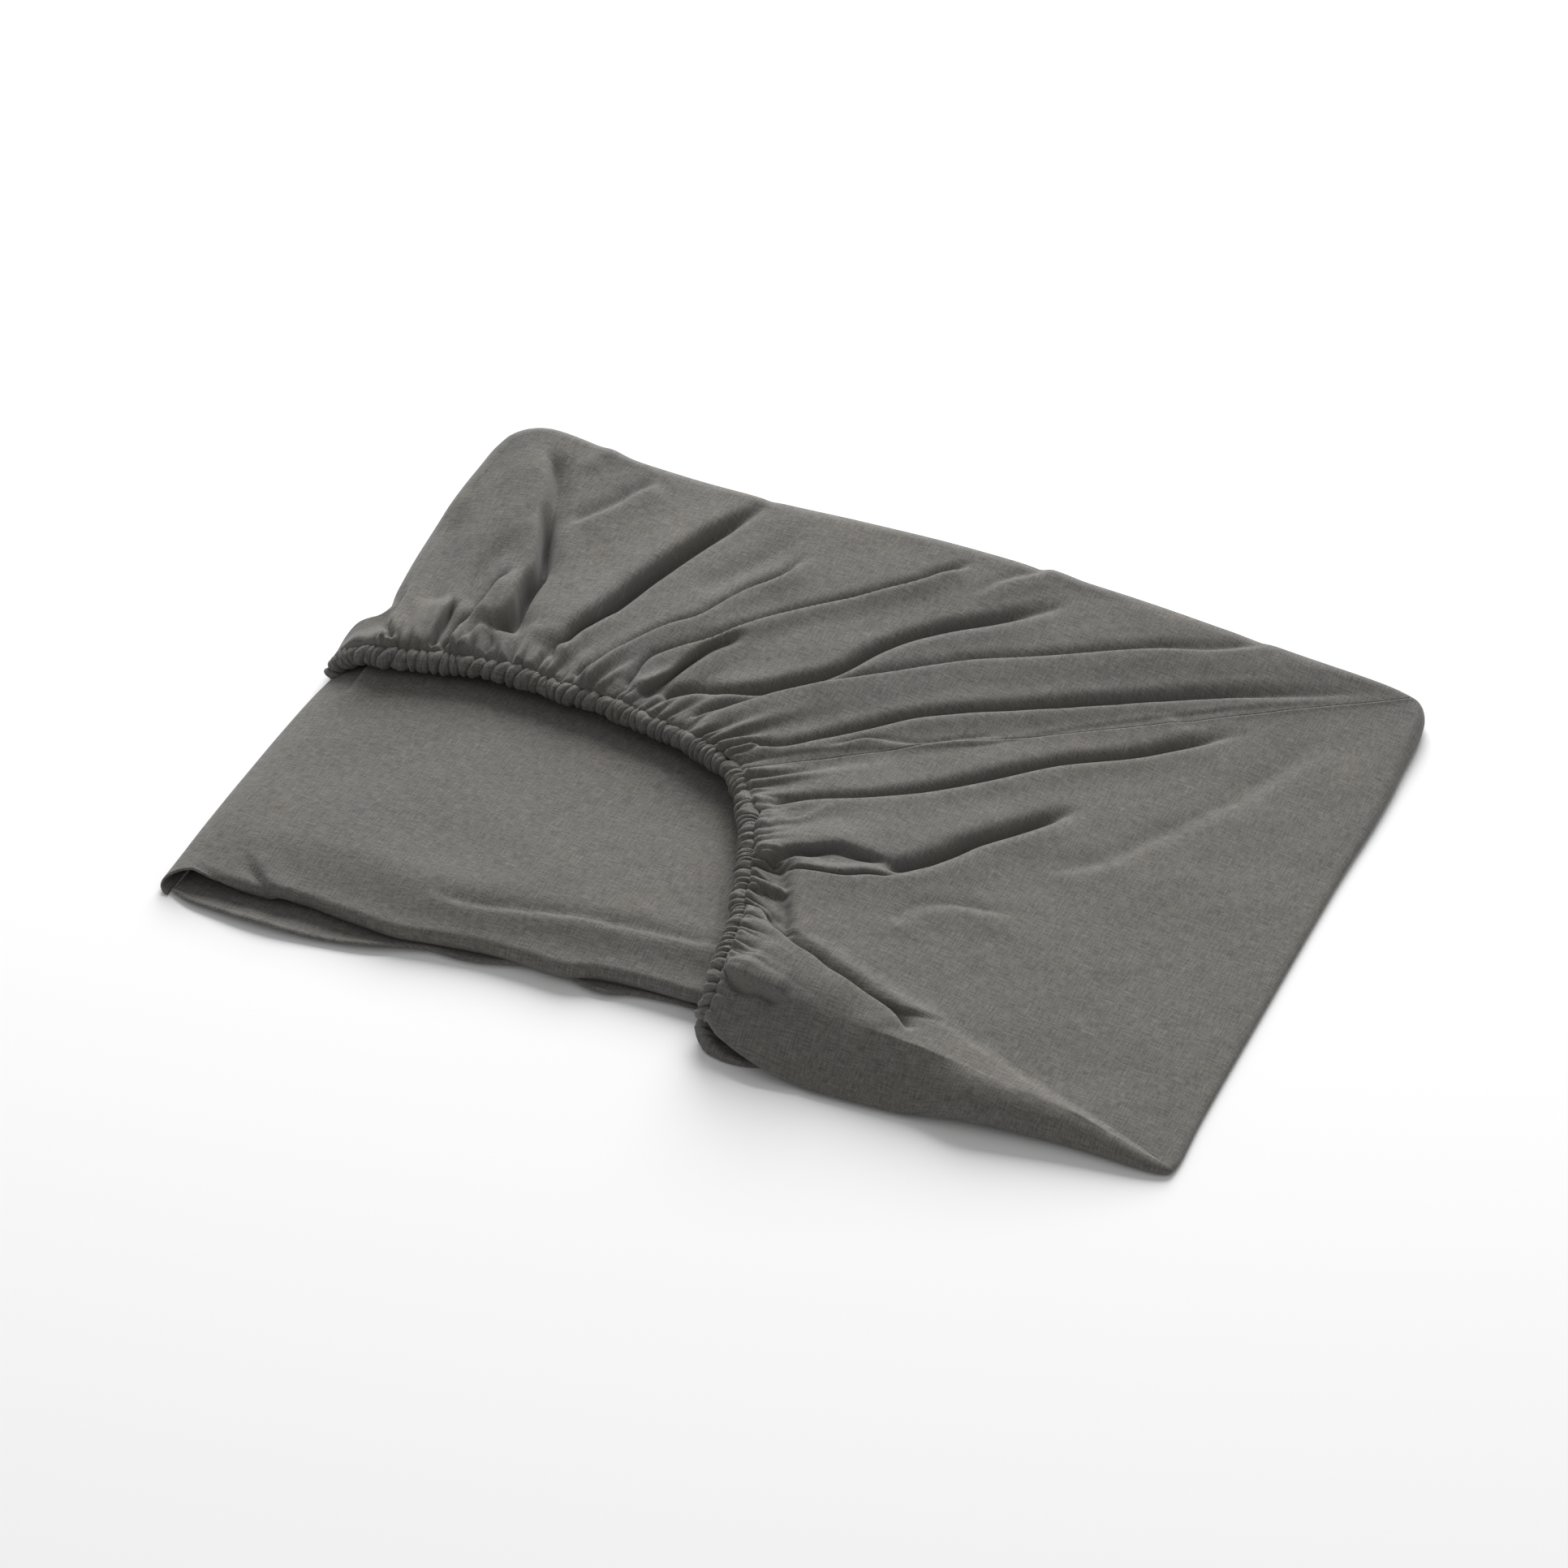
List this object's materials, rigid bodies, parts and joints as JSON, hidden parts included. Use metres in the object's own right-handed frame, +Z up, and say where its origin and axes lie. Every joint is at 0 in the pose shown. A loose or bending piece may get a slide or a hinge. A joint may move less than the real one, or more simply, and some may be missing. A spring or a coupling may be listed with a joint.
{
  "type": "folded fitted bed sheet",
  "caption": "Fitted bed sheet with a gathered elastic hem, folded to a soft rectangle that lies flat.",
  "frame": {"origin": "middle of the underside, on the surface that the folded sheet lies on", "axes": "+X along the long side, +Y from the near side to the far side, +Z up"},
  "size_m": [0.4832, 0.3656, 0.0505],
  "materials": {
    "washed_linen": "washed, matt, warm dark grey"
  },
  "bodies": {
    "root": {"fitted_sheet": "washed_linen"}
  },
  "joints": []
}
